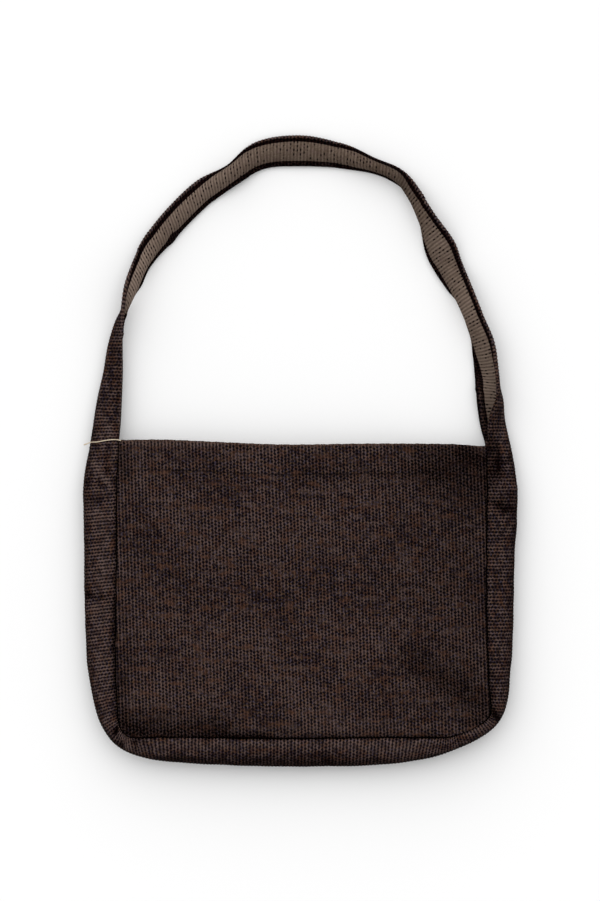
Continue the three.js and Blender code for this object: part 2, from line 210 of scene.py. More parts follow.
def fold_depth(folds, x, y):
    """Sum over the folds of depth times a bump over the distance to the fold's line."""
    total = np.zeros_like(x)
    for from_x, from_y, to_x, to_y, width, depth in folds:
        run = np.array((to_x - from_x, to_y - from_y), dtype=float)
        share = np.clip(((x - from_x) * run[0] + (y - from_y) * run[1]) / run.dot(run), 0, 1)
        away = np.hypot(x - from_x - share * run[0], y - from_y - share * run[1])
        total += depth * bump(away, 0, width)
    return total


def soft_waves(x, y, length, seed):
    """Twelve plane waves of about the given length added up, to a height of about 1.

    Their directions, phases and stretch are drawn from the seed.
    """
    pick = np.random.default_rng(seed)
    total = np.zeros_like(x)
    for turn, phase, stretch in pick.uniform((0, 0, 0.7), (math.pi, 2 * math.pi, 1.6), (12, 3)):
        along = x * math.cos(turn) + y * math.sin(turn)
        total += np.sin(2 * math.pi * along / (length * stretch) + phase)
    return total / 3.5


def strap_edges():
    """Front edge, middle and back edge of each strap section.

    A section is the half ellipse half * cos + reach * sin in the upright plane across the strap's run,
    lifted until its lowest cloth is on the ground.
    """
    plan = np.vstack([GUSSET[-1:, :2], STRAP[:, :2], GUSSET[:1, :2]])
    run = unit(plan[2:] - plan[:-2])
    turn = np.radians(STRAP[:, 4])
    half = STRAP[:, 2:3] * np.stack([np.cos(turn), np.sin(turn)], 1)
    reach = STRAP[:, 3:4] * np.stack([-np.sin(turn), np.cos(turn)], 1)
    angle = np.radians(np.arange(0, 181, 2))
    slope = -half[:, None] * np.sin(angle)[:, None] + reach[:, None] * np.cos(angle)[:, None]
    inward = -slope[..., 0] / np.linalg.norm(slope, axis=2)
    outer_up = half[:, 1:] * np.cos(angle) + reach[:, 1:] * np.sin(angle)
    layers = np.where(np.minimum(angle, math.pi - angle) < HEMMED_ANGLE, 2, 1)
    lowest = np.minimum(outer_up, outer_up + inward * layers * CLOTH).min(axis=1)
    rest = STRAP_REST - np.minimum(lowest, 0)

    def place(across):
        """Points at sideways and upward offsets from the strap's plan."""
        flat = STRAP[:, :2] + np.stack([run[:, 1], -run[:, 0]], 1) * across[:, :1]
        return np.column_stack([flat, rest + across[:, 1]])

    return place(half), place(reach), place(-half)


def strip_lines():
    """The strip's front edge, middle line and back edge through every section of gusset and strap."""
    thickness = bag_thickness(GUSSET[:, 1])
    gusset_front = np.column_stack([GUSSET[:, :2], thickness])
    gusset_middle = np.column_stack([GUSSET[:, 2:], thickness / 2])
    gusset_back = np.column_stack([GUSSET[:, :2], 0 * thickness])
    gusset_back[-1, 0] = BACK_MOUTH_X
    front, middle, back = strap_edges()
    pairs = ((gusset_front, front), (gusset_middle, middle), (gusset_back, back))
    return tuple(np.vstack(pair) for pair in pairs)


FRONT_LINE, MIDDLE_LINE, BACK_LINE = strip_lines()


def closed_curve(points, row):
    """Closed curve through the points at row numbers.

    Each span is a cubic whose slope at a point is half the chord between the point's neighbours.
    """
    index = np.floor(row).astype(int)
    share = (row - index)[..., None]
    before, here, after, later = (points[(index + step) % len(points)] for step in (-1, 0, 1, 2))
    square = before - 2.5 * here + 2 * after - 0.5 * later
    cube = 1.5 * (here - after) + 0.5 * (later - before)
    return here + share * (0.5 * (after - before) + share * (square + share * cube))


def front_seam_dip(x, y):
    """How deep the front seam is drawn in.

    The same all round, times 1 - slack * exp(-(distance / size)^2) for each slack corner.
    """
    depth = np.full_like(x, FRONT_SEAM_DIP)
    for corner_x, corner_y, size, slack in SLACK_CORNERS:
        depth *= 1 - slack * np.exp(-((x - corner_x) ** 2 + (y - corner_y) ** 2) / size ** 2)
    return depth


def sewn_share(row):
    """1 along the gusset, fading to 0 within the strap's feet."""
    wrapped = np.mod(row, ROWS)
    past = np.maximum(0, np.minimum(wrapped - LAST_GUSSET_ROW, ROWS - wrapped))
    return 1 - smooth(0, FOOT_LENGTH, past)


def front_edge(row):
    """The strip's front edge, with small waves where it is sewn: sideways, or along y at the bottom."""
    point = np.array(closed_curve(FRONT_LINE, row))
    along = 2 * math.pi * (point[..., 0] + point[..., 1])
    waves = sum(size * np.sin(along / length + phase) for size, length, phase in SEAM_WAVES)
    uneven = sewn_share(row) * waves
    bottom = smooth(*SEAM_TURN, point[..., 1])
    point[..., 0] += SIDE_UNEVEN * uneven * (1 - bottom)
    point[..., 1] += BOTTOM_UNEVEN * uneven * bottom
    return point


def back_edge(row):
    """The strip's back edge."""
    return closed_curve(BACK_LINE, row)


def strip_point(row, angle):
    """Outer face of the strip at a row number and a section angle.

    A bow from the front edge (angle 0) round the middle line to the back edge (angle pi). It is half an
    ellipse where it is deep, going over to a parabola where the strap lies nearly flat. Both edges are
    drawn in along the seams by dip * (1 - distance / roll)^2, with a wide roll along the left side.
    """
    front = front_edge(row)
    back = back_edge(row)
    centre = (front + back) / 2
    half = front - centre
    reach = closed_curve(MIDDLE_LINE, row) - centre
    wide = np.linalg.norm(half, axis=-1)
    deep = np.linalg.norm(reach, axis=-1)
    flat = smooth(DEEP_SECTION, FLAT_SECTION, deep / wide) * (1 - sewn_share(row))
    bow = np.sin(angle) * (1 - flat) + np.sin(angle) ** 2 * flat
    seam_dip = np.where(np.cos(angle) > 0, front_seam_dip(front[..., 0], front[..., 1]), BACK_SEAM_DIP)
    left = smooth(*LEFT_SIDE_X, front[..., 0]) * smooth(*LEFT_SIDE_Y, front[..., 1])
    roll = STRIP_ROLL + (LEFT_STRIP_ROLL - STRIP_ROLL) * left
    dip = seam_dip * sewn_share(row) * np.maximum(0, 1 - deep * np.sin(angle) / roll) ** 2
    across = np.cos(angle) - np.sign(np.cos(angle)) * dip / wide
    return centre + half * across[..., None] + reach * bow[..., None]


# A small step for slopes, then tables that turn distances into row numbers and angles: their steps to a
# section, round it and along a seam, straight spans of the front seam, and how far apart in length and
# in angle the rows' tables lie
SMALL_STEP = 1e-3
FINE_STEPS = 120
ANGLE_STEPS = 120
SEAM_TABLE = 800
SEAM_SPANS = 330
ROW_LENGTH = 1000
ROW_ANGLE = 10


def strip_inward(row, angle):
    """Unit direction from the outer to the inner face: slope along the rows crossed with slope round."""
    inner = np.clip(angle, SMALL_STEP, math.pi - SMALL_STEP)
    along = strip_point(row + SMALL_STEP, inner) - strip_point(row - SMALL_STEP, inner)
    around = strip_point(row, inner + SMALL_STEP) - strip_point(row, inner - SMALL_STEP)
    return unit(np.cross(along, around))


def running_length(points, axis):
    """Length along a grid of points from its first line, by adding up the chords."""
    chords = np.linalg.norm(np.diff(points, axis=axis), axis=-1)
    start = np.zeros_like(np.take(chords, [0], axis=axis))
    return np.concatenate([start, np.cumsum(chords, axis=axis)], axis=axis)


def rib_rows():
    """Row numbers of the strip's ribs and the gaps between them, evenly spaced along its middle line."""
    fine = np.linspace(0, ROWS, ROWS * FINE_STEPS + 1)
    length = running_length(closed_curve(MIDDLE_LINE, fine), 0)
    count = 2 * round(length[-1] / RIB)
    return np.interp(np.arange(count) * length[-1] / count, length, fine)


def angles_at(row, distances):
    """Section angles at given distances from the front edge, measured along the middle of doubled cloth.

    Each row has a rising table of length against angle, and the tables are laid end to end so that one
    interpolation inverts them all. distances is a function of the rows' whole widths.
    """
    table = np.linspace(0, math.pi, ANGLE_STEPS + 1)
    row_grid, angle_grid = (np.array(part) for part in np.broadcast_arrays(row[:, None], table[None]))
    middle = strip_point(row_grid, angle_grid) + strip_inward(row_grid, angle_grid) * CLOTH
    lengths = running_length(middle, 1)
    width = lengths[:, -1]
    wanted = distances(width)
    start = np.arange(len(row))[:, None]
    found = np.interp((wanted + ROW_LENGTH * start).ravel(), (lengths + ROW_LENGTH * start).ravel(),
                      (table[None] + ROW_ANGLE * start).ravel())
    return found.reshape(wanted.shape) - ROW_ANGLE * start, wanted, width


# Lines across the strip: distance of the first from either edge, shares of a hem, step past a hem,
# number between the hems, and turns over a folded edge
EDGE_START = 1.6
HEM_SHARES = np.array([0, 0.2, 0.4, 0.6, 0.8, 0.96])
HEM_STEP = 0.4
MIDDLE_STEPS = 16
CAP_STEPS = np.radians([30, 60, 90, 120, 150])
# Hems: width along the gusset, width below which a back hem is out of sight, and how much wider the back
# hem is for each millimetre that it bulges
GUSSET_HEM = 6.0
HIDDEN_HEM = 2.6
BULGE_HEM = 1.3
# Ends of the mouth's hems, which stand out under the gusset: side, lowest y, highest y
RIDGES = [(-1, -24.5, 4.5), (1, -18.0, 9.0)]
RIDGE_WIDTH = 9.0
RIDGE_HEIGHT = 1.7
# Painted shade along the outer edge of each ridge
RIDGE_DARK = 0.55
# Width of a dark line, and the place and darkness of the line sewn along the strap's front hem
LINE_WIDTH = 0.9
STITCH_LINE = 4
STITCH_DARK = 0.45
# Painted shade along the front seam, how much less it is on the right side and where the seam is slack,
# and the wider band of painted shade on the left side, with what it gains further down
SEAM_DARK = 0.4
RIGHT_PALER = 0.2
SLACK_PALER = 0.6
LEFT_BAND = 0.08
LEFT_BAND_DOWN = 0.22
# Painted shade round the bag's side and what it gains at the bottom, and a painted highlight near the
# front seam, what it gains at the bottom and what it loses on the right side
SIDE_DARK = 0.58
BOTTOM_DARKER = 0.27
SIDE_HIGHLIGHT = 0.2
BOTTOM_HIGHLIGHT = 0.1
RIGHT_LESS_HIGHLIGHT = 0.12
# Painted shade on the strap's hems: the front one's inner part, a painted highlight on its outer part and
# fold, the back one, and the same at the strap's right foot
FRONT_HEM_DARK = 1.35
FRONT_HEM_HIGHLIGHT = 0.4
FRONT_FOLD_HIGHLIGHT = 0.55
BACK_HEM_DARK = 1.1
FOOT_HEM_DARK = 0.75
FOOT_FOLD_GAIN = 0.85
FOOT_BACK_LOSS = 0.8
# Places where the strap's back edge stands out (above 0) or in: section, spread, how far
BACK_BULGES = [(17.52, 0.2, 2.3), (18.2, 0.3, -0.9)]
# Sections of the gusset, and how far its ribs slant there
LEFT_SLANT = ((0, 2, 4, 6, 7.5, 8.5), (-0.04, -0.09, -0.15, -0.2, -0.1, 0))
# Staining and painted shade of the strip (below 0 painted highlights): from x, y to x, y, width, and how
# dark
STRIP_STAINS_AND_SHADE = [
    (184, -70, 182, -230, 26, 0.16), (175, -238, 181, -246, 3, 0.8),
    (173.5, -208, 174.5, -236, 5, 0.45), (174, 2, 174.5, -38, 5, 0.25), (182, 38, 184, 24, 5, 0.35),
    (-187, 46, -191, 16, 5, 0.25), (-165.5, -250.5, -170.5, -259, 2.0, 1.0),
    (175, 10, 182, -20, 8, 0.65), (177, -24, 192, -44, 12, 0.42), (172, -46, 188, -53, 4, 0.35),
    (160, -256.5, 171, -250, 3.5, -0.4), (126, -269, 166, -262, 8, 0.35),
    (-164, -256, -162, -268, 4, 0.4), (-172, 25, -170, 110, 14, 0.12),
    (-163, -260, -157, -266, 3, -0.5), (-171, -135, -170, -220, 2.6, 0.4),
    (-176.3, 0, -176.3, -20, 1.6, 0.45), (-185, -24, -178, -29, 3, -0.35),
    (-184, -8, -180, -17, 3, 0.3), (-151, -266.5, -142, -267.5, 2.2, 0.95),
    (-196, -32, -180, -33, 3, 0.3),
]
# Painted highlights (below 0) and painted shade on the strap's inner face: section, spread, how much
INNER_LIGHT_AND_SHADE = [
    (1.2, 1.4, -0.45), (4.5, 0.9, -0.38), (6.8, 1.2, -0.17), (9.4, 0.9, 0.38), (15.8, 1.5, -0.36),
    (19.4, 1.5, -0.65), (20.4, 0.6, -0.3),
]


def along_strap(places, section):
    """Sum over the places of how much times a bump along the strap."""
    return sum(much * bump(section, middle, spread) for middle, spread, much in places)


def hem_widths(row):
    """Widths of the front and the back hem at row numbers, smooth between the strap's sections.

    The back hem is wider where it bulges.
    """
    gusset = np.full((len(GUSSET), 2), GUSSET_HEM)
    widths = closed_curve(np.vstack([gusset, STRAP[:, 5:7]]), row)
    widths[:, 1] += BULGE_HEM * np.maximum(0, along_strap(BACK_BULGES, row - LAST_GUSSET_ROW - 1))
    return np.maximum(widths, EDGE_START + 0.2)


def strip_distances(row):
    """Distances across the strip: shares of either hem in from its edge, even steps between the hems."""
    def distances(width):
        """The distances on rows of the given widths."""
        front, back = hem_widths(row).T
        near = EDGE_START + HEM_SHARES[None] * (front - EDGE_START)[:, None]
        far = width[:, None] - EDGE_START - HEM_SHARES[None, ::-1] * (back - EDGE_START)[:, None]
        share = np.linspace(0, 1, MIDDLE_STEPS)[None]
        start = (front + HEM_STEP)[:, None]
        middle = start + share * (width - back - HEM_STEP - front - HEM_STEP)[:, None]
        return np.hstack([near, middle, far])
    return distances


def one_row(values, kind=np.float32):
    """The values one after the other, in the kind of number that a mesh holds."""
    return np.ascontiguousarray(values, dtype=kind).ravel()


def mesh_piece(name, points, faces, weave, materials, face_material, shade):
    """A smooth mesh piece from points in millimetres, faces, their corners in the weave, and materials.

    shade is the painted shade at each point, along seams, in creases, on hems and round the gusset's
    side, with staining, and below 0 painted highlights.
    """
    mesh = bpy.data.meshes.new(name)
    mesh.from_pydata(np.reshape(points, (-1, 3)) * METRE, [], faces)
    layer = mesh.uv_layers.new(name="weave")
    layer.data.foreach_set("uv", one_row(weave))
    for material in materials:
        mesh.materials.append(material)
    mesh.polygons.foreach_set("material_index", one_row(face_material, np.int32))
    mesh.polygons.foreach_set("use_smooth", np.ones(len(mesh.polygons), dtype=bool))
    darkness = mesh.attributes.new("shade", "FLOAT", "POINT")
    darkness.data.foreach_set("value", one_row(shade))
    mesh.update()
    piece = bpy.data.objects.new(name, mesh)
    bpy.context.collection.objects.link(piece)
    return piece


def corner_values(values):
    """The values of a grid at the four corners of each of its quads, in face order."""
    return np.stack([values[:-1, :-1], values[:-1, 1:], values[1:, 1:], values[1:, :-1]], 2)


def tube_faces(line, next_line, columns):
    """Quads from the points of each line to those of the next line, going all the way round."""
    place = np.arange(columns)[None]
    after = (place + 1) % columns
    corners = [line * columns + place, line * columns + after,
               next_line * columns + after, next_line * columns + place]
    return np.stack(corners, 2).reshape(-1, 4).tolist()


class StripGrid:
    """Places on the strip: a line for every rib and every gap between ribs, and columns across it.

    angle is the section angle, from_front and from_back are the distances from the edges, slanted is the
    row number along the slant of the ribs, section counts the strap's sections, loose is 0 where the
    strip is sewn and 1 on the strap, and hidden is 1 where the back hem is out of sight.
    """

    def __init__(self):
        self.row = rib_rows()
        self.angle, self.from_front, width = angles_at(self.row, strip_distances(self.row))
        self.from_back = width[:, None] - self.from_front
        self.front_hem, self.back_hem = hem_widths(self.row).T[:, :, None]
        gusset_slant = np.interp(np.arange(len(GUSSET)), *LEFT_SLANT)
        slant = closed_curve(np.append(gusset_slant, STRAP[:, 7])[:, None], self.row)
        rows_per_length = np.gradient(self.row)[:, None] * 2 / RIB
        from_middle = self.from_front - width[:, None] / 2
        self.slanted = self.row[:, None] - slant * from_middle * rows_per_length
        self.section = (self.row - LAST_GUSSET_ROW - 1)[:, None]
        self.loose = 1 - sewn_share(self.slanted)
        self.hidden = smooth(HIDDEN_HEM, HIDDEN_HEM - HEM_STEP, self.back_hem)


def strip_relief(outer, grid):
    """How far the outer face moves in, and the painted shade of its creases (below 0 highlights on
    folds).

    It moves in by the creases of the gusset and soft waves, less the hem ridges beside the mouth seams.
    """
    x, y = outer[..., 0], outer[..., 1]
    from_front = grid.from_front
    upper = smooth(0, 0.4, grid.angle) * smooth(1.57, 1.1, grid.angle)
    creases = fold_depth(GUSSET_CREASES, x, y) * upper
    waves = soft_waves(x + outer[..., 2], y, GUSSET_WAVE_LENGTH, seed=5)
    waves = waves * np.sin(grid.angle) * sewn_share(grid.slanted)
    move = creases + GUSSET_WAVE * waves * (1 - 0.65 * smooth(*STRIP_TURN, y))
    # Painted shade in the creases, and below 0 a painted highlight on raised folds
    dark = CREASE_DARK * creases
    for side, low, high in RIDGES:
        in_height = smooth(low - 1.5, low + 0.5, y) * smooth(high + 1.5, high - 0.5, y)
        in_height = in_height * (np.sign(x) == side) * (np.cos(grid.angle) > 0)
        near = RIDGE_HEIGHT * smooth(0.5, 2, from_front)
        move -= near * smooth(RIDGE_WIDTH, RIDGE_WIDTH - 1.5, from_front) * in_height
        # A line of painted shade along each ridge's outer edge
        dark += RIDGE_DARK * bump(from_front, RIDGE_WIDTH, LINE_WIDTH) * in_height
    return move, dark


def strip_walls(grid):
    """Outer and inner face of the strip, the direction from one to the other, and its creases' darkness.

    The cloth is thicker in the hems and along the seams. The back edge is moved sideways where it
    bulges, and the strap is lifted wherever it would go below the ground.
    """
    outer = strip_point(grid.slanted, grid.angle)
    inward = strip_inward(grid.slanted, grid.angle)
    relief, crease_shade = strip_relief(outer, grid)
    outer = outer + inward * relief[..., None]
    rolled = np.minimum(grid.from_front / grid.front_hem, grid.from_back / grid.back_hem)
    roll = 1.1 - 1.2 * smooth(0.5, 0.95, rolled)
    past_hem = np.minimum(grid.from_front - grid.front_hem, grid.from_back - grid.back_hem)
    puff = 0.3 * smooth(0, 5, past_hem)
    from_edge = np.minimum(grid.from_front, grid.from_back)
    seam_flange = SEAM_LAYERS * smooth(STRIP_ALLOWANCE, EDGE_START, from_edge) * (1 - grid.loose)
    thickness = CLOTH * (1 + grid.loose * np.where(rolled < 1, roll, puff) + seam_flange)
    inner = outer + inward * thickness[..., None]
    sideways = unit(outer[:, -1:] - outer[:, -len(HEM_SHARES):1 - len(HEM_SHARES)])
    bulge = (along_strap(BACK_BULGES, grid.section) * smooth(9, 2, grid.from_back))[..., None] * sideways
    outer = outer + bulge
    inner = inner + bulge
    lowest = np.minimum(outer[..., 2], inner[..., 2]).min(axis=1)
    lift = np.maximum(0, STRAP_REST - lowest) * (grid.row > LAST_GUSSET_ROW)
    outer[..., 2] += lift[:, None]
    inner[..., 2] += lift[:, None]
    return outer, inner, inward, crease_shade


def folded_edge(outer, inner, edge, inside):
    """Half circle over a folded edge of the strip, from its outer to its inner face."""
    centre = (outer[:, edge] + inner[:, edge]) / 2
    across = outer[:, edge] - centre
    away = unit(outer[:, edge] - outer[:, inside])
    size = np.minimum(np.linalg.norm(across, axis=1), EDGE_START)[:, None] * away
    turn = CAP_STEPS[None, :, None]
    return centre[:, None] + across[:, None] * np.cos(turn) + size[:, None] * np.sin(turn)


def strip_profile(outer, inner, inward, angle):
    """Closed profile of each line: outer face, fold at the back edge, inner face, fold at the front.

    Every second line stands out as a rib, and the others lie in by as much. The ribs are higher round
    the bag's side and on the front fold.
    """
    back_fold = folded_edge(outer, inner, -1, -2)
    front_fold = folded_edge(outer, inner, 0, 1)[:, ::-1]
    profile = np.concatenate([outer, back_fold, inner[:, ::-1], front_fold], 1)
    facing = np.concatenate([-inward, back_fold * 0, inward[:, ::-1], front_fold * 0], 1)
    count, columns = profile.shape[:2]
    out_columns = outer.shape[1]
    folds = len(CAP_STEPS)
    for start, edge in ((out_columns, -1), (2 * out_columns + folds, 0)):
        away = profile[:, start:start + folds] - (outer[:, edge] + inner[:, edge])[:, None] / 2
        facing[:, start:start + folds] = unit(away)
    crest = np.where(np.arange(count) % 2 == 0, RIB_CREST, -RIB_CREST)
    crest = np.repeat(crest[:, None], columns, 1)
    crest[:, :out_columns] *= 1 + 1.5 * smooth(0.7, 1, np.sin(angle))
    crest[:, -folds:] *= 4
    profile = profile + facing * crest[..., None]
    profile[..., 2] = np.maximum(profile[..., 2], 0)
    return profile


def side_shade(angle, x, y):
    """Painted shade and highlight across the gusset: highlight near the front seam, shade round its side.

    The shaded part is widest in the middle of the bag's bottom, and the highlight is weaker on the right
    side.
    """
    bottom = smooth(*STRIP_TURN, y)
    right = smooth(SIDE_X, SIDE_X + 25, x)
    start = 0.72 - 0.44 * bottom * bump(x, -15, 85)
    out = np.where(np.cos(angle) > 0, np.sin(angle), 1)
    painted_tone = SIDE_HIGHLIGHT + BOTTOM_HIGHLIGHT * bottom - RIGHT_LESS_HIGHLIGHT * right
    painted_highlight = painted_tone * smooth(0.03, 0.18, out) * smooth(start + 0.15, start - 0.15, out)
    return (SIDE_DARK + BOTTOM_DARKER * bottom) * smooth(start, 0.96, out) - painted_highlight


def strip_shade(grid, outer, crease_shade):
    """Painted shade of the strip round its profile, with staining, and below 0 painted highlights.

    The outer face has painted shade along its seams, in its creases and round the bag's side, and
    staining. On the inner face the hems have painted shade, less so at the strap's right foot, the front
    fold a painted highlight, and the cloth between them painted highlights and shade in places.
    """
    x, y = outer[..., 0], outer[..., 1]
    loose = grid.loose
    # Painted shade along the front seam, and in a wider band beside the left seam
    slack = 1 - front_seam_dip(x[:, :1], y[:, :1]) / FRONT_SEAM_DIP
    left = (x < -SIDE_X) * (LEFT_BAND + LEFT_BAND_DOWN * smooth(-60, -150, y))
    right = RIGHT_PALER * (x > SIDE_X)
    narrow = (SEAM_DARK - right - SLACK_PALER * slack) * smooth(2.6, EDGE_START, grid.from_front)
    outer_shade = (1 - loose) * (narrow + left * smooth(9, 2, grid.from_front)) + crease_shade
    outer_shade += STITCH_DARK * loose * bump(grid.from_front, STITCH_LINE, LINE_WIDTH)
    # Staining with painted shade and highlights from the table, then painted shade and highlight round
    # the bag's side
    stain_and_shade = fold_depth(STRIP_STAINS_AND_SHADE, x, y) * (np.cos(grid.angle) > 0)
    sides = (1 - loose) * side_shade(grid.angle, x, y)
    outer_shade += stain_and_shade + sides - np.maximum(stain_and_shade, 0) * np.maximum(sides, 0)

    # Painted shade on the inner face's hems and a painted highlight on the front hem's outer part,
    # changed at the right foot
    at_foot = smooth(LAST_GUSSET_ROW + 3.5, LAST_GUSSET_ROW + 2, grid.row)[:, None]
    in_hem = grid.from_front / grid.front_hem
    inner_part = smooth(0.47, 0.68, in_hem)
    outer_part = smooth(0.56, 0.36, in_hem)
    front_shade = np.where(in_hem < 1, FRONT_HEM_DARK * inner_part - FRONT_HEM_HIGHLIGHT * outer_part, 0)
    front_shade += at_foot * (FOOT_HEM_DARK * (in_hem < 1) - front_shade)
    in_back_hem = grid.from_back / grid.back_hem
    foot_loss = FOOT_BACK_LOSS - FOOT_BACK_LOSS * smooth(0.75, 0.9, in_back_hem)
    dark_back = BACK_HEM_DARK - at_foot * foot_loss
    back_shade = np.where(in_back_hem < 1, dark_back * (1 - grid.hidden), 0)
    # Painted highlights and painted shade on the inner face between the hems
    painted_tone = along_strap(INNER_LIGHT_AND_SHADE, grid.section) * (in_hem > 1) * (in_back_hem > 1)
    inner_shade = loose * (front_shade + back_shade + painted_tone)

    # Painted highlight on the front fold, painted shade at the right foot and on the back fold
    folds = len(CAP_STEPS)
    fold_shade = FOOT_FOLD_GAIN * at_foot - FRONT_FOLD_HIGHLIGHT
    front_fold = np.repeat(fold_shade * loose[:, :1], folds, 1)
    back_fold = np.repeat((loose * (1 - grid.hidden))[:, :1], folds, 1)
    return np.hstack([outer_shade, back_fold, inner_shade[:, ::-1], front_fold])


def strip_across(grid, outer, inner):
    """Distances round the profile in rib pitches, for the brown face and for the pale reverse.

    The brown count runs on over both folds into the hems. The pale one is measured from the front edge.
    """
    start = grid.from_front[:, :1]
    outer_across = start + running_length(outer, 1)
    inner_across = start + running_length(inner, 1)
    folds = len(CAP_STEPS)
    round_fold = math.pi * CLOTH * (np.arange(1, folds + 1) / (folds + 1))[None]
    past_back = outer_across[:, -1:] + round_fold
    past_front = start - round_fold[:, ::-1]
    hem_back = past_back[:, -1:] + (inner_across[:, -1:] - inner_across)
    hem_front = past_front[:, :1] - (inner_across - start)
    hem_across = np.where(grid.from_front < grid.from_back, hem_front, hem_back)
    brown = np.concatenate([outer_across, past_back, hem_across[:, ::-1], past_front], 1)
    pale = np.concatenate([outer_across, past_back, inner_across[:, ::-1], past_front], 1)
    return brown / RIB, pale / RIB


def make_strip(brown, reverse):
    """Gusset and strap as one closed strip of cloth: quads between the lines' closed profiles.

    The inner face between the hems has the pale reverse, and so has a back hem that is out of sight.
    """
    grid = StripGrid()
    outer, inner, inward, crease_shade = strip_walls(grid)
    profile = strip_profile(outer, inner, inward, grid.angle)
    shade = strip_shade(grid, outer, crease_shade)
    brown_across, pale_across = strip_across(grid, outer, inner)
    count, columns = profile.shape[:2]
    out_columns = outer.shape[1]
    first = out_columns + len(CAP_STEPS) + len(HEM_SHARES)
    place = np.arange(columns)[None]
    between_hems = (place >= first) & (place < first + MIDDLE_STEPS - 1)
    round_back = (place >= out_columns - 1) & (place < first)
    is_reverse = between_hems | (round_back & (grid.hidden > 0.5))
    line = np.arange(count)[:, None]
    faces = tube_faces(line, (line + 1) % count, columns)

    def corners(values):
        """Values at the quads' corners, with the first line and column added again at the end."""
        wrapped = np.vstack([values, values[:1]])
        return corner_values(np.hstack([wrapped, wrapped[:, :1]]))

    along = np.repeat(np.arange(count + 1)[:, None] / 2, columns + 1, 1)
    across = np.where(is_reverse[..., None], corners(pale_across), corners(brown_across))
    weave = np.stack([corner_values(along), across], -1)
    return mesh_piece("strip", profile, faces, weave, [brown, reverse], is_reverse, shade)


def seam_rows(first, last, distances):
    """Row numbers at given distances along the front seam between two sections."""
    fine = np.linspace(first, last, SEAM_TABLE + 1)
    length = running_length(front_edge(fine), 0)
    return np.interp(distances(length[-1]), length, fine)


# Lines of a panel: distances of those beside a seam, and the step between the others
SEAM_STEPS = np.array([0, 0.8, 1.8, 3.0, 4.6, 6.6])
PANEL_STEP = 2.0


def across_distances(total):
    """Distances across a panel, close together beside both seams."""
    start = SEAM_STEPS[-1] + PANEL_STEP
    count = round((total - 2 * start) / PANEL_STEP)
    middle = np.linspace(start, total - start, count + 1)
    return np.concatenate([SEAM_STEPS, middle, total - SEAM_STEPS[::-1]])


def up_distances(total):
    """Distances up a panel from bottom corner to mouth, close together at the ends and the hem."""
    start = SEAM_STEPS[-1] + PANEL_STEP
    hem = total - PANEL_HEM
    low = np.linspace(start, hem - 1.2, round((hem - start) / PANEL_STEP) + 1)
    high = np.linspace(hem + 1.2, total - 2.5, round(PANEL_HEM / PANEL_STEP))
    at_hem = [hem - HEM_STEP, hem + HEM_STEP]
    at_mouth = [total - 1.5, total - 0.8]
    return np.concatenate([SEAM_STEPS, low, at_hem, high, at_mouth])


def up_distances_like(count):
    """up_distances with the number of steps of the other side, so that both sides of a panel match."""
    def distances(total):
        """The distances up a side of the given length."""
        own = up_distances(total)
        return np.interp(np.linspace(0, 1, count), np.linspace(0, 1, len(own)), own)
    return distances


def panel_edge(seam, gap, row):
    """Plan of a seam at a row number, moved in from the gusset by a gap."""
    here = seam(row)[..., :2]
    along = unit(seam(row + SMALL_STEP)[..., :2] - seam(row - SMALL_STEP)[..., :2])
    return here + gap * np.stack([-along[..., 1], along[..., 0]], -1)


def seam_distance(plan):
    """Distance in plan from each point to the front seam, taken as short straight spans."""
    line = front_edge(np.linspace(0, LAST_GUSSET_ROW, SEAM_SPANS + 1))[:, :2]
    start, run = line[:-1], np.diff(line, axis=0)
    least = np.full(plan.shape[:-1], np.inf)
    for begin, span in zip(start, run):
        share = np.clip((plan - begin) @ span / span.dot(span), 0, 1)
        away = plan - begin - share[..., None] * span
        least = np.minimum(least, np.hypot(away[..., 0], away[..., 1]))
    return least


def mouth_wave(x):
    """How far the mouth's edge stands above the straight line between the seam tops.

    Two low rises, less a sag in the middle and a drop at the right corner, plus two fine ripples.
    """
    rise = 0.9 * bump(x, -128, 30) + 0.3 * bump(x, 110, 50)
    ripple = 0.13 * np.sin(2 * math.pi * x / 6.6) + 0.12 * np.sin(2 * math.pi * x / 15.3 + 1)
    sag = 1.7 * bump(x, -15, 55) + 0.8 * smooth(-120, -10, x) * smooth(166, 142, x)
    corner = 2.4 * smooth(138, 171, x) * smooth(172, 171.2, x)
    return rise - sag - corner + ripple


def panel_plan(seam, gap, setback):
    """Grid of plan points blended from the panel's four edges: rows up the panel, columns across it.

    The blend is left-to-right plus bottom-to-top, less the same blend of the four corners.
    """
    left = panel_edge(seam, gap, seam_rows(LEFT_CORNER_ROW, 0, up_distances))
    right_rows = seam_rows(RIGHT_CORNER_ROW, LAST_GUSSET_ROW, up_distances_like(len(left)))
    right = panel_edge(seam, gap, right_rows)
    bottom = panel_edge(seam, gap, seam_rows(LEFT_CORNER_ROW, RIGHT_CORNER_ROW, across_distances))
    across = ((bottom[:, 0] - bottom[0, 0]) / (bottom[-1, 0] - bottom[0, 0]))[None, :, None]
    up = ((left[:, 1] - left[0, 1]) / (left[-1, 1] - left[0, 1]))[:, None, None]
    top = left[-1] + across[0] * (right[-1] - left[-1])
    top[:, 1] += mouth_wave(top[:, 0])
    sides = left[:, None] + across * (right - left)[:, None]
    ends = bottom[None] + up * (top - bottom)[None]
    low = bottom[0] + across * (bottom[-1] - bottom[0])
    high = top[0] + across * (top[-1] - top[0])
    plan = sides + ends - (low + up * (high - low))
    plan[..., 1] -= setback * smooth(0.5, 1, up[..., 0]) * np.minimum(1, seam_distance(plan) / SEAM_ROLL)
    return plan


# Turns over the fold at the mouth, how deep they are in the weave, and where the inner face starts in it
MOUTH_TURN = np.radians([-75, -45, -15, 15, 45, 75])
MOUTH_FOLD = np.linspace(0.4, 2.4, len(MOUTH_TURN))
MOUTH_FOLD_END = 2.8
# Painted shade of a panel along its seams, what it gains at the bottom and what it loses at slack corners
PANEL_SEAM_DARK = 0.08
PANEL_SEAM_GAIN = 0.17
PANEL_SLACK_LOSS = 0.3
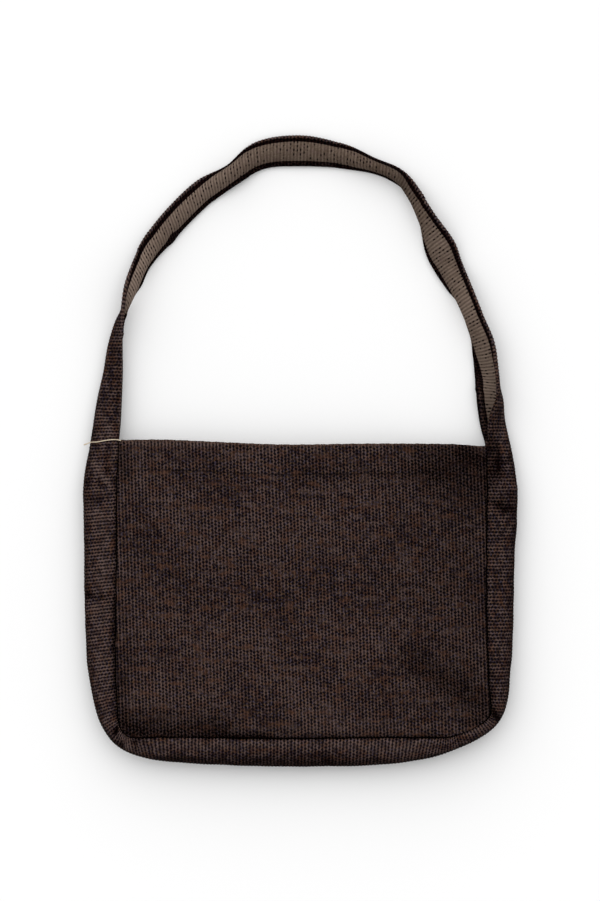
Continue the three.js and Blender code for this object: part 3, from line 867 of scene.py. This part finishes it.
# Staining and painted shade of the panels (below 0 painted highlights), written as the strip's are
PANEL_STAINS_AND_SHADE = [
    (-160, -262, -74, -262, 19, 0.75), (-66, -263.5, -34, -263.5, 8, 0.5),
    (-58, -263.5, 128, -263.5, 3.6, 0.7), (122, -10, 172, -28, 26, 0.55),
    (5, -22, 125, -25, 11, 0.24), (82, -115, 116, -128, 20, 0.14), (105, -197, 174, -240, 13, 0.5),
    (165, -60, 165, -190, 55, 0.26), (-165, -212, -162, -242, 7, 0.4),
    (-158, 6.4, -72, 5.2, 2.2, -0.8), (150, -251, 164, -247, 4, 0.4),
    (-163, -252, -146, -255, 5, 0.3), (-163, 0, -161, -24, 8, 0.5), (150, 0, 172, -8, 10, 0.45),
    (-164, -150, -162, -215, 9, 0.14), (-60, -258, 95, -258, 9, -0.2),
]


def make_panel(name, material, plan, level, side):
    """A cloth panel: outer face from bottom seam to mouth, a round fold there, and the inner face.

    level is the outer face's height, side is 1 for a panel that faces up and -1 for one that faces down.
    The cloth is doubled over the hem's width below the mouth, and its seam allowance is turned in.
    """
    from_mouth = plan[-1:, :, 1] - plan[:, :, 1]
    hem = smooth(PANEL_HEM + HEM_STEP, PANEL_HEM - HEM_STEP, from_mouth)
    layers = 1 + hem + SEAM_LAYERS * smooth(PANEL_ALLOWANCE, 0, seam_distance(plan))
    outer = np.dstack([plan, level])
    inner = np.dstack([plan, level - side * CLOTH * layers])
    centre = (outer[-1] + inner[-1]) / 2
    turn = MOUTH_TURN[:, None, None]
    away = CLOTH * (0.9 * np.cos(turn) * (0, 1, 0) - side * np.sin(turn) * (0, 0, 1))
    sheet = np.concatenate([outer, centre[None] + away, inner[::-1]], 0)
    lines, columns = sheet.shape[:2]
    lean = math.radians(PANEL_LEAN)
    along = (sheet[..., 0] * math.cos(lean) + sheet[..., 1] * math.sin(lean)) / RIB
    depth = running_length(outer[::-1, :, 1:], 0)[::-1]
    fold_depths = np.repeat(-MOUTH_FOLD[:, None], columns, 1)
    down = np.concatenate([depth, fold_depths, -MOUTH_FOLD_END - depth[::-1]], 0) / RIB
    number = np.arange(lines * columns).reshape(lines, columns)
    around = np.vstack([number, number[:1]])
    near = number[:lines // 2]
    far = number[::-1][:lines // 2]
    left = np.stack([near[:-1, 0], near[1:, 0], far[1:, 0], far[:-1, 0]], 1)
    right = np.stack([near[1:, -1], near[:-1, -1], far[:-1, -1], far[1:, -1]], 1)
    faces = np.concatenate([corner_values(around).reshape(-1, 4), left, right])[:, ::side]
    weave = np.stack([along.ravel()[faces], down.ravel()[faces]], -1)
    # Painted shade along the seams, more at the bottom and less at slack corners
    slack = 1 - front_seam_dip(sheet[..., 0], sheet[..., 1]) / FRONT_SEAM_DIP
    bottom = smooth(*SEAM_TURN, sheet[..., 1])
    seam_shade = PANEL_SEAM_DARK + PANEL_SEAM_GAIN * bottom - PANEL_SLACK_LOSS * slack
    shade = seam_shade * smooth(1.6, 0.4, seam_distance(sheet[..., :2]))
    # Staining, painted shade and painted highlights of the panel from the table
    shade += fold_depth(PANEL_STAINS_AND_SHADE, sheet[..., 0], sheet[..., 1])
    return mesh_piece(name, sheet, faces.tolist(), weave, [material], np.zeros(len(faces)), shade)


def front_level(plan):
    """Height of the front panel: the bag's thickness, domed between the seams, with soft waves.

    Its folds and the roll towards the seams are taken off.
    """
    x, y = plan[..., 0], plan[..., 1]
    from_seam = seam_distance(plan)
    loose = smooth(0, 3 * SEAM_ROLL, from_seam)
    dome = PANEL_DOME * smooth(0, 12 * SEAM_ROLL, from_seam)
    waves = PANEL_WAVE * soft_waves(x, y, PANEL_WAVE_LENGTH, seed=3) * loose
    width = PANEL_SIDE_ROLL + (PANEL_BOTTOM_ROLL - PANEL_SIDE_ROLL) * smooth(*ROLL_TURN, y)
    roll = front_seam_dip(x, y) * np.maximum(0, 1 - from_seam / width) ** 2
    return bag_thickness(y) + dome + (waves - fold_depth(PANEL_FOLDS, x, y)) * loose - roll


def back_level(plan):
    """Height of the back panel's underside: flat on the ground, turned up along the seams."""
    return BACK_SEAM_DIP * np.maximum(0, 1 - seam_distance(plan) / SEAM_ROLL) ** 2


class Value:
    """A socket of a finish. Operators on it add Math nodes."""

    def __init__(self, finish, socket):
        self.finish = finish
        self.socket = socket

    def __add__(self, other):
        return self.finish.math("ADD", self, other)

    __radd__ = __add__

    def __sub__(self, other):
        return self.finish.math("SUBTRACT", self, other)

    def __rsub__(self, other):
        return self.finish.math("SUBTRACT", other, self)

    def __mul__(self, other):
        return self.finish.math("MULTIPLY", self, other)

    __rmul__ = __mul__

    def __mod__(self, other):
        return self.finish.math("FLOORED_MODULO", self, other)


class Finish:
    """A material's node tree."""

    def __init__(self, name):
        self.material = bpy.data.materials.new(name)
        self.material.use_nodes = True
        self.tree = self.material.node_tree
        self.tree.nodes.clear()

    def node(self, kind, settings, inputs, output=0):
        """Adds a node, sets its settings, then its sockets' values or links, and gives one output."""
        made = self.tree.nodes.new(kind)
        for key, value in settings.items():
            setattr(made, key, value)
        for key, value in inputs.items():
            if isinstance(value, Value):
                self.tree.links.new(value.socket, made.inputs[key])
            else:
                made.inputs[key].default_value = value
        return Value(self, made.outputs[output]) if made.outputs else None

    def math(self, operation, *values):
        """A Math node on values and numbers."""
        return self.node("ShaderNodeMath", {"operation": operation}, dict(enumerate(values)))

    def step(self, value, low, high):
        """0 below low, 1 above high, smooth between."""
        return self.node("ShaderNodeMapRange", {"interpolation_type": "SMOOTHSTEP"},
                         {"Value": value, "From Min": low, "From Max": high})

    def above(self, value):
        """The value, or 0 where it is below 0."""
        return self.math("MAXIMUM", value, 0.0)

    def chance(self, number):
        """A random share for each number."""
        return self.node("ShaderNodeTexWhiteNoise", {"noise_dimensions": "1D"}, {"W": number})

    def wave(self, turns):
        """Cosine of so many turns, from 0 to 1, with 1 at whole turns."""
        return 0.5 + 0.5 * self.math("COSINE", turns * (2 * math.pi))

    def mix(self, share, first, second):
        """One colour going over to another."""
        return self.node("ShaderNodeMix", {"data_type": "RGBA"}, {0: share, 6: first, 7: second}, 2)

    def noise(self, x, y, detail, seed):
        """Cloudy noise from 0 to 1 over two coordinates."""
        spot = self.node("ShaderNodeCombineXYZ", {}, {0: x, 1: y, 2: seed})
        return self.node("ShaderNodeTexNoise", {}, {"Vector": spot, "Scale": 1.0, "Detail": detail})

    def coordinates(self):
        """Ribs across and dots along, from the weave map."""
        found = self.node("ShaderNodeUVMap", {"uv_map": "weave"}, {})
        return tuple(self.node("ShaderNodeSeparateXYZ", {}, {0: found}, axis) for axis in (0, 1))

    def shade(self):
        """The piece's shade attribute: painted shade and highlights, with staining."""
        return self.node("ShaderNodeAttribute", {"attribute_name": "shade"}, {}, 2)

    def surface(self, colour, roughness, height, depth):
        """The cloth's shader, with its relief."""
        relief = self.node("ShaderNodeBump", {}, {"Strength": 1.0, "Distance": depth, "Height": height})
        shader = self.node("ShaderNodeBsdfPrincipled", {}, {
            "Base Color": colour, "Roughness": roughness, "Normal": relief,
            "Specular IOR Level": 0.02,
        })
        self.node("ShaderNodeOutputMaterial", {}, {"Surface": shader})
        return self.material


def paint(red, green, blue):
    """A screen colour from 0 to 255 as linear light."""
    values = np.array((red, green, blue)) / 255
    linear = np.where(values < 0.04045, values / 12.92, ((values + 0.055) / 1.055) ** 2.4)
    return (*linear.tolist(), 1.0)


def brown_weave(name, relief, valley, openness, apart, patchy, mottle, mouth_hem):
    """Ribs of brown yarn with dark holes in the gaps between them, uneven from place to place.

    relief is the ribs' height, valley how dark the gaps are, openness how large the holes are, apart how
    clearly they stand apart, patchy how far they close up in places, mottle how much the yarn's tone
    goes up and down over a few ribs, and mouth_hem whether the cloth has a sewn hem along its top.
    """
    finish = Finish(name)
    ribs, along = finish.coordinates()
    bent = ribs + 0.55 * (finish.noise(ribs * 0.9, along * 0.8, 2.0, 4.0) - 0.5)
    slid = along + 0.6 * (finish.noise(ribs * 0.8, along * 0.6, 1.0, 12.0) - 0.5)
    rib = finish.wave(bent)
    gap = finish.math("FLOOR", bent)
    drift = finish.noise(gap * 0.31, along * 0.12, 1.0, 9.0)
    beat = finish.wave(0.98 * slid + 0.5 * (gap % 2.0) + 0.25 * finish.chance(gap) + 0.9 * drift)
    patches = finish.noise(ribs * 0.3, along * 0.5, 2.0, 2.0)
    bands = finish.noise(ribs * 0.08, along * 0.7, 2.0, 7.0)
    present = finish.step(0.5 * patches + 0.5 * bands, 0.4, 0.5)
    spots = finish.noise(ribs * 0.9, along * 0.85, 2.0, 8.0)
    hole = finish.step(apart * (beat - 1.12 * rib) + 1.4 * spots + openness, 0.72, 1.3)
    hole = hole * (1 - patchy + patchy * present)
    yarn = finish.noise(ribs * 1.0, along * 0.35, 3.0, 1.0)
    cloud = finish.noise(ribs * 0.06, along * 0.06, 3.0, 5.0)
    fibre = finish.noise(ribs * 2.3, along * 2.3, 2.0, 3.0)
    uneven = finish.noise(ribs * 0.45, along * 0.5, 2.0, 21.0)
    tone = 0.3 * yarn + 0.34 * cloud + 0.4 * fibre + mottle * (uneven - 0.5) - 0.02
    ground = finish.mix(finish.step(tone, 0.38, 0.6), paint(39, 27, 26), paint(87, 70, 65))
    tint = finish.noise(ribs * 1.5, along * 1.7, 2.0, 14.0)
    ground = finish.mix(0.75 * finish.step(tint, 0.52, 0.66), ground, paint(62, 57, 70))
    ground = finish.mix(0.8 * finish.step(tint, 0.46, 0.34), ground, paint(76, 58, 38))
    warm = finish.step(finish.noise(ribs * 0.29, along * 0.4, 2.0, 6.0), 0.47, 0.6) * (1 - 0.5 * present)
    ground = finish.mix(0.65 * warm, ground, paint(78, 51, 36))
    shaded = finish.mix(valley * (1 - rib), ground, paint(19, 12, 14))
    colour = finish.mix(0.95 * hole, shaded, paint(4, 2, 7))
    if mouth_hem:
        # Painted highlight along the rounded fold at the mouth's edge
        painted_highlight = finish.step(along, 0.16, 0.02) * finish.step(along, -0.5, -0.2)
        colour = finish.mix(0.3 * painted_highlight, colour, paint(93, 71, 60))
        sewn = finish.step(along, 8.0, 8.2) * finish.step(along, 8.65, 8.45)
        colour = finish.mix(0.5 * sewn, colour, paint(7, 5, 6))
    shade = finish.shade()
    # Below 0 the shade attribute paints highlights onto the ribs
    highlight_on_ribs = finish.above(-1 * shade) * rib * finish.step(spots, 0.32, 0.52)
    colour = finish.mix(highlight_on_ribs, colour, paint(100, 84, 79))
    # Above 0 it paints shade, along with staining, darkest in the holes
    shade_and_stain = finish.above(shade) * (0.68 + 0.45 * finish.step(fibre, 0.6, 0.4) + 0.35 * hole)
    shade_and_stain_colour = finish.mix(hole, paint(13, 3, 3), paint(0, 0, 0))
    colour = finish.mix(finish.math("MINIMUM", shade_and_stain, 1.0), colour, shade_and_stain_colour)
    height = 0.55 * rib - 0.7 * hole + 0.25 * fibre
    return finish.surface(colour, 0.88 + 0.1 * yarn, height, relief)


def pale_reverse(name):
    """The cloth's paler inside: fine cross ribs, with short dark dashes in some of the gaps."""
    finish = Finish(name)
    ribs, across = finish.coordinates()
    bent = ribs + 0.25 * (finish.noise(ribs * 0.8, across * 0.6, 1.0, 4.0) - 0.5)
    rib = finish.wave(bent)
    gap = finish.math("FLOOR", bent)
    turns = 0.75 * across + finish.chance(gap)
    beat = finish.wave(turns)
    cell = finish.node("ShaderNodeCombineXYZ", {}, {0: gap, 1: finish.math("FLOOR", turns + 0.5)})
    chance = finish.node("ShaderNodeTexWhiteNoise", {"noise_dimensions": "2D"}, {"Vector": cell})
    groups = finish.noise(gap * 0.7, across * 0.3, 2.0, 8.0)
    present = finish.step(groups + 0.2 * chance, 0.61, 0.67)
    dash = finish.step(0.6 * beat + (1 - rib), 1.05, 1.3) * present
    yarn = finish.noise(ribs * 1.2, across * 0.3, 3.0, 2.0)
    cloud = finish.noise(ribs * 0.07, across * 0.07, 2.0, 5.0)
    fibre = finish.noise(ribs * 2.2, across * 2.0, 2.0, 3.0)
    tone = 0.35 * yarn + 0.25 * cloud + 0.4 * fibre
    ground = finish.mix(finish.step(tone, 0.36, 0.64), paint(74, 61, 51), paint(109, 95, 84))
    tint = finish.noise(ribs * 0.8, across * 0.8, 2.0, 14.0)
    ground = finish.mix(0.4 * finish.step(tint, 0.5, 0.66), ground, paint(91, 73, 71))
    shade = finish.shade()
    # Below 0 the shade attribute paints highlights onto the reverse
    ground = finish.mix(finish.above(-1 * shade), ground, paint(146, 128, 116))
    shaded = finish.mix(0.6 * (1 - rib), ground, paint(52, 41, 35))
    colour = finish.mix(0.95 * dash, shaded, paint(9, 6, 6))
    # Above 0 it paints shade onto the hems and the shaded places of the inner face
    colour = finish.mix(finish.above(shade), colour, paint(3, 2, 3))
    height = 0.45 * rib - 0.4 * dash + 0.2 * fibre
    return finish.surface(colour, 0.88 + 0.1 * yarn, height, 0.0006)


def cream_thread(name):
    """Twisted cream yarn: slanting strands round the thread, with a little soiling along it."""
    finish = Finish(name)
    length, around = finish.coordinates()
    strand = finish.wave(length + 2.0 * around)
    soil = finish.noise(length * 0.4, around * 2.0, 2.0, 3.0)
    colour = finish.mix(0.5 * strand, paint(205, 188, 162), paint(236, 224, 203))
    colour = finish.mix(0.3 * soil, colour, paint(150, 128, 102))
    return finish.surface(colour, 0.75 + 0.2 * soil, strand, 0.0002)


# Loose thread: thickness, points along it and round it, its height past the bag's side, how fast it
# drops there and from which x, its clearance over the cloth, and its height at the seam
THREAD = 0.9
THREAD_POINTS = 33
THREAD_SIDES = 8
THREAD_LEVEL = 16.5
THREAD_DROP = 0.5
THREAD_DROP_X = -188.5
THREAD_CLEARANCE = 0.2
THREAD_END_LEVEL = 20.0
# Plan of the thread from its loose end to where it goes into the seam
THREAD_PLAN = np.array([
    (-199.5, 5.2), (-196.3, 6.1), (-193.1, 7.7), (-188, 7.7), (-185.3, 8.1), (-177, 9.6), (-171.5, 10.1),
    (-167.8, 9.9), (-164.6, 8.9),
])


def thread_path():
    """Centre line of the loose thread: along the plan points, resting on the strip below it.

    Its height is the strip's highest outer face at that x, plus the thread's radius. Past the strip's
    side it goes on level and drops a little. Each coordinate is smoothed along it a few times.
    """
    angle = np.linspace(0, math.pi / 2, 200)
    section = strip_point(np.zeros_like(angle), angle)
    spread = np.linspace(0, len(THREAD_PLAN) - 1, THREAD_POINTS)
    x, y = (np.interp(spread, np.arange(len(THREAD_PLAN)), part) for part in THREAD_PLAN.T)
    for line in [x, y] * 3:
        line[1:-1] = (line[:-2] + 2 * line[1:-1] + line[2:]) / 4
    order = np.argsort(section[:, 0])
    z = np.interp(x, section[order, 0], section[order, 2])
    free = THREAD_LEVEL - THREAD_DROP * np.maximum(0, THREAD_DROP_X - x)
    z = np.maximum(z, free) + THREAD_CLEARANCE + THREAD / 2
    z[-4:] = np.maximum(z[-4:], THREAD_END_LEVEL)
    for _ in range(4):
        z[1:-1] = np.maximum(z[1:-1], (z[:-2] + z[2:]) / 2)
    return np.stack([x, y, z], 1)


def make_thread(material):
    """A round tube carried along the thread's path, its circle upright across the path at every step.

    Its loose end is frayed wider, and both ends are drawn in.
    """
    path = thread_path()
    along = unit(np.gradient(path, axis=0))
    side = unit(np.cross(along, (0, 0, 1)))
    up = np.cross(side, along)
    turn = np.linspace(0, 2 * math.pi, THREAD_SIDES + 1)[:-1]
    taper = 1 + 0.5 * smooth(6, 1, np.arange(len(path)))
    taper[0] = 0.6
    taper[-1] = 0.5
    ring = np.cos(turn)[None, :, None] * side[:, None] + np.sin(turn)[None, :, None] * up[:, None]
    tube = path[:, None] + THREAD / 2 * taper[:, None, None] * ring
    count, sides = tube.shape[:2]
    line = np.arange(count - 1)[:, None]
    place = np.arange(sides)[None]
    length = running_length(path, 0)
    lengths = np.stack([length[:-1], length[:-1], length[1:], length[1:]], -1)[:, None]
    lengths = lengths + 0 * place[..., None]
    rounds = np.stack([place, place + 1, place + 1, place], -1) / sides + 0 * line[..., None]
    weave = np.stack([lengths, rounds], -1).reshape(-1, 4, 2)
    caps = [np.arange(sides)[::-1], (count - 1) * sides + np.arange(sides)]
    ends = [np.stack([0 * cap + value, cap % sides / sides], -1)
            for cap, value in zip(caps, (0, length[-1]))]
    all_weave = np.concatenate([weave.reshape(-1, 2), *ends])
    all_faces = tube_faces(line, line + 1, sides) + [cap.tolist() for cap in caps]
    piece = mesh_piece("thread_tail", tube, all_faces, all_weave, [material], np.zeros(len(all_faces)),
                       np.zeros(count * sides))
    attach(piece, "root")


make_thread(cream_thread("cream_thread"))

brown_cloth = brown_weave("brown_weave", relief=0.0004, valley=0.38, openness=0.3, apart=2.8,
                          patchy=0.15, mottle=1.0, mouth_hem=False)
panel_cloth = brown_weave("brown_weave_hemmed", relief=0.0009, valley=0.3, openness=0.3, apart=1.25,
                          patchy=0.45, mottle=0.45, mouth_hem=True)
strip = make_strip(brown_cloth, pale_reverse("pale_reverse"))
front_plan = panel_plan(front_edge, SEAM_GAP, 0.0)
front = make_panel("front_cloth", panel_cloth, front_plan, front_level(front_plan), 1)
back_plan = panel_plan(back_edge, -BACK_SEAM_LAP, BACK_SETBACK)
back = make_panel("back_cloth", panel_cloth, back_plan, back_level(back_plan), -1)

for piece, nodes in ((strip, ("gusset", "strap")), (front, ("front_panel",)), (back, ("back_panel",))):
    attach(piece, "root")
    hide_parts(*nodes)

# Floor: half its size and its drop below the bag, in metres, and its paleness
FLOOR_HALF = 4.0
FLOOR_DROP = 0.0002
FLOOR_COLOUR = (0.9, 0.9, 0.9, 1.0)
# Light: strength of the surround, and the lamp's strength, spread and tilt in degrees
SURROUND = 0.7
LAMP_STRENGTH = 1.9
LAMP_SPREAD = 100
LAMP_TILT = (-44, -12, 0)


def make_floor():
    """A pale, plain floor just under the bag."""
    finish = Finish("pale_floor")
    shader = finish.node("ShaderNodeBsdfPrincipled", {}, {
        "Base Color": FLOOR_COLOUR, "Roughness": 0.9, "Specular IOR Level": 0.0})
    finish.node("ShaderNodeOutputMaterial", {}, {"Surface": shader})
    mesh = bpy.data.meshes.new("floor")
    corners = [(x * FLOOR_HALF, y * FLOOR_HALF, 0) for x, y in ((-1, -1), (1, -1), (1, 1), (-1, 1))]
    mesh.from_pydata(corners, [], [(0, 1, 2, 3)])
    mesh.materials.append(finish.material)
    floor = bpy.data.objects.new("floor", mesh)
    floor.location = (0, 0, -FLOOR_DROP)
    bpy.context.collection.objects.link(floor)


def make_lights():
    """A pale surround and one broad soft light, tilted from over the strap and a little from the left."""
    scene = bpy.context.scene
    scene.world = bpy.data.worlds.new("surround")
    scene.world.use_nodes = True
    background = scene.world.node_tree.nodes["Background"]
    background.inputs["Color"].default_value = (1.0, 1.0, 1.0, 1.0)
    background.inputs["Strength"].default_value = SURROUND
    lamp = bpy.data.lights.new("soft_light", "SUN")
    lamp.angle = math.radians(LAMP_SPREAD)
    lamp.energy = LAMP_STRENGTH
    light = bpy.data.objects.new("soft_light", lamp)
    bpy.context.collection.objects.link(light)
    light.rotation_euler = np.radians(LAMP_TILT).tolist()
    scene.view_settings.view_transform = "Standard"


make_floor()
make_lights()
